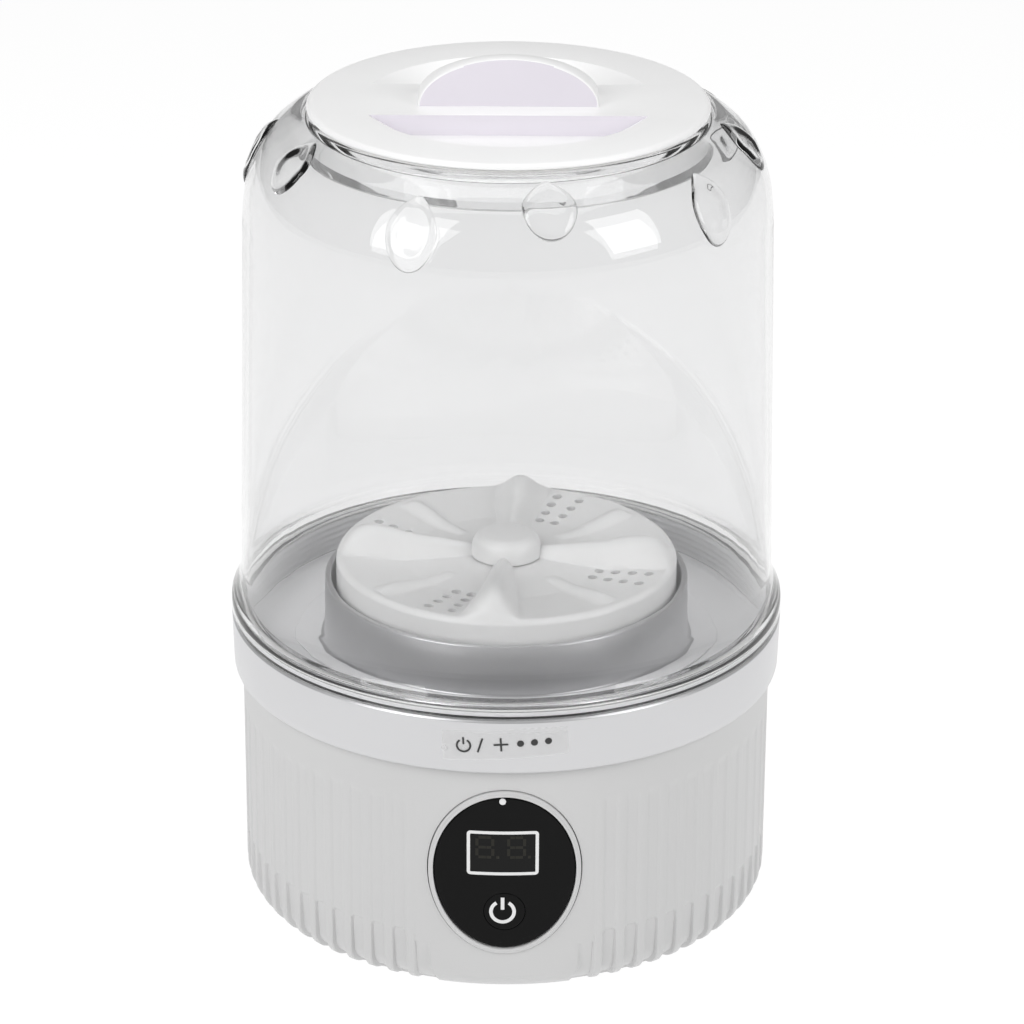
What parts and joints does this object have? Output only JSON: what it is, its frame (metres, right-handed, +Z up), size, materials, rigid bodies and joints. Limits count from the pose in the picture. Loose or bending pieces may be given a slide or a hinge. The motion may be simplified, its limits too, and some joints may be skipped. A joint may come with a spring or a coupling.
{
  "type": "portable mini washer",
  "caption": "Small tabletop washer: a fluted drum-shaped drive base, a pulsator in a shallow bowl, a clear screw-on tub and a screw lid with a grip.",
  "frame": {"origin": "on the washer's upright axis, at the bottom of its feet", "axes": "+Z up along the axis of the pulsator and the tub; the control panel faces -Y, the charging port +Y"},
  "size_m": [0.1656, 0.1656, 0.263],
  "materials": {
    "housing_white": "satin white moulded plastic",
    "band_silver": "satin silver paint on plastic",
    "bowl_silver": "satin silver paint on plastic",
    "collar_silver": "satin silver paint on plastic",
    "clear_tub": "polished clear plastic",
    "lid_white": "satin white moulded plastic",
    "pulsator_white": "satin white moulded plastic",
    "seal_white": "matt white silicone",
    "panel_black": "polished black lens",
    "rubber_grey": "matt grey rubber",
    "board_green": "solder-mask green laminate",
    "black_plastic": "fine matt black plastic",
    "cell_blue": "shrink sleeve",
    "gear_nylon": "natural nylon",
    "steel": "bright zinc or brushed steel",
    "brass": "turned brass",
    "wire_red": "insulated lead"
  },
  "bodies": {
    "root": {"base_housing": "housing_white", "band_ring": "band_silver", "wash_bowl": "bowl_silver", "pulsator_collar": "collar_silver", "bottom_cover": "housing_white", "panel_bezel": "housing_white", "panel_lens": "panel_black", "display_module": "black_plastic", "control_board": "board_green", "tact_switch": "steel", "battery_tray": "black_plastic", "charge_socket": "steel", "charge_board": "board_green", "battery_lead": "wire_red", "motor_lead": "wire_red", "charge_lead": "wire_red", "gearbox_upper_plate": "black_plastic", "gearbox_lower_plate": "black_plastic", "idler_pin": "steel", "motor_can": "steel", "motor_end_bell": "black_plastic", "lower_bush": "brass", "upper_bush": "brass", "shaft_seal": "rubber_grey", "foot_1": "rubber_grey", "cover_screw_1": "steel", "board_screw_1": "steel", "foot_2": "rubber_grey", "cover_screw_2": "steel", "board_screw_2": "steel", "foot_3": "rubber_grey", "cover_screw_3": "steel", "board_screw_3": "steel", "foot_4": "rubber_grey", "cover_screw_4": "steel", "board_screw_4": "steel", "battery_cell_1": "cell_blue", "battery_cell_2": "cell_blue", "gearbox_screw_1": "steel", "gearbox_spacer_1": "steel", "gearbox_screw_2": "steel", "gearbox_spacer_2": "steel", "gearbox_screw_3": "steel", "gearbox_spacer_3": "steel"},
    "pulsator": {"pulsator": "pulsator_white", "pulsator_cap": "pulsator_white", "pulsator_screw": "steel", "drive_shaft": "steel", "output_gear": "gear_nylon"},
    "idler": {"idler_wheel": "gear_nylon", "idler_pinion": "gear_nylon"},
    "motor_rotor": {"motor_shaft": "steel", "motor_pinion": "brass"},
    "tub_seal": {"tub_seal": "seal_white"},
    "tub": {"wash_tub": "clear_tub"},
    "lid_seal": {"lid_seal": "seal_white"},
    "lid": {"lid": "lid_white"},
    "power_button": {"power_button": "panel_black"},
    "port_cover": {"port_cover": "rubber_grey"}
  },
  "joints": [
    {"name": "pulsator_spin", "type": "hinge", "parent": "root", "child": "pulsator", "pos_m": [0, 0, 0.1], "axis": [0, 0, 1], "continuous": true},
    {"name": "idler_spin", "type": "hinge", "parent": "root", "child": "idler", "pos_m": [-0.02425, 0.014, 0.05], "axis": [0, 0, 1], "continuous": true},
    {"name": "motor_spin", "type": "hinge", "parent": "root", "child": "motor_rotor", "pos_m": [-0.01225, 0.03479, 0.03], "axis": [0, 0, 1], "continuous": true},
    {"name": "tub_lift", "type": "slide", "parent": "root", "child": "tub_seal", "axis": [0, 0, 1], "range_m": [0, 0.0151]},
    {"name": "tub_turn", "type": "hinge", "parent": "tub_seal", "child": "tub", "pos_m": [0, 0, 0.1], "axis": [0, 0, 1], "range_deg": [0, 450]},
    {"name": "lid_lift", "type": "slide", "parent": "tub", "child": "lid_seal", "axis": [0, 0, 1], "range_m": [0, 0.0091]},
    {"name": "lid_turn", "type": "hinge", "parent": "lid_seal", "child": "lid", "pos_m": [0, 0, 0.247], "axis": [0, 0, 1], "range_deg": [0, 540]},
    {"name": "button_press", "type": "slide", "parent": "root", "child": "power_button", "axis": [0, 1, 0], "range_m": [0, 0.0005], "stiffness_N_per_m": 400, "springref_m": -0.0005},
    {"name": "port_cover_hinge", "type": "hinge", "parent": "root", "child": "port_cover", "pos_m": [0, 0.08015, 0.027], "axis": [1, 0, 0], "range_deg": [0, 110]}
  ],
  "couplings": [
    {"joint": "idler_spin", "follows": "pulsator_spin", "ratio": -4},
    {"joint": "motor_spin", "follows": "pulsator_spin", "ratio": 16},
    {"joint": "tub_lift", "follows": "tub_turn", "m_per_rad": 0.0019099},
    {"joint": "lid_lift", "follows": "lid_turn", "m_per_rad": 0.00095493}
  ]
}
